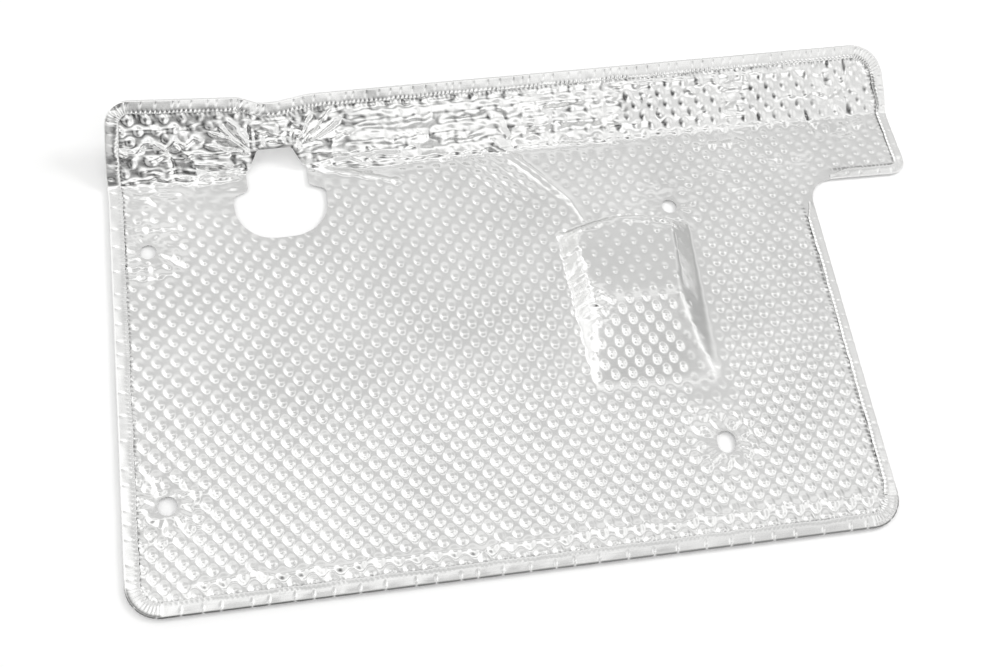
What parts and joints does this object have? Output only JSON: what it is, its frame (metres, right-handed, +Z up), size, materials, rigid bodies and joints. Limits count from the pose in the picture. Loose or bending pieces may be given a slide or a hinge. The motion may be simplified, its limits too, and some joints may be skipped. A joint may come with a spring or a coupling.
{
  "type": "heat shield",
  "caption": "Flat embossed aluminium heat shield with an upturned rear flange, a side ear, a keyhole cut across the bend, a drawn blister, bolt holes and a hemmed edge.",
  "frame": {"origin": "centre of the four bolt holes, on the underside of the flat panel", "axes": "+X runs to the right along the front edge towards the ear, +Y runs back to the flange, +Z is up, out of the face that the flange turns towards"},
  "size_m": [0.3872, 0.2392, 0.0263],
  "materials": {
    "aluminium": "bright, embossed with small round dimples"
  },
  "bodies": {
    "root": {"shield": "aluminium"}
  },
  "joints": []
}
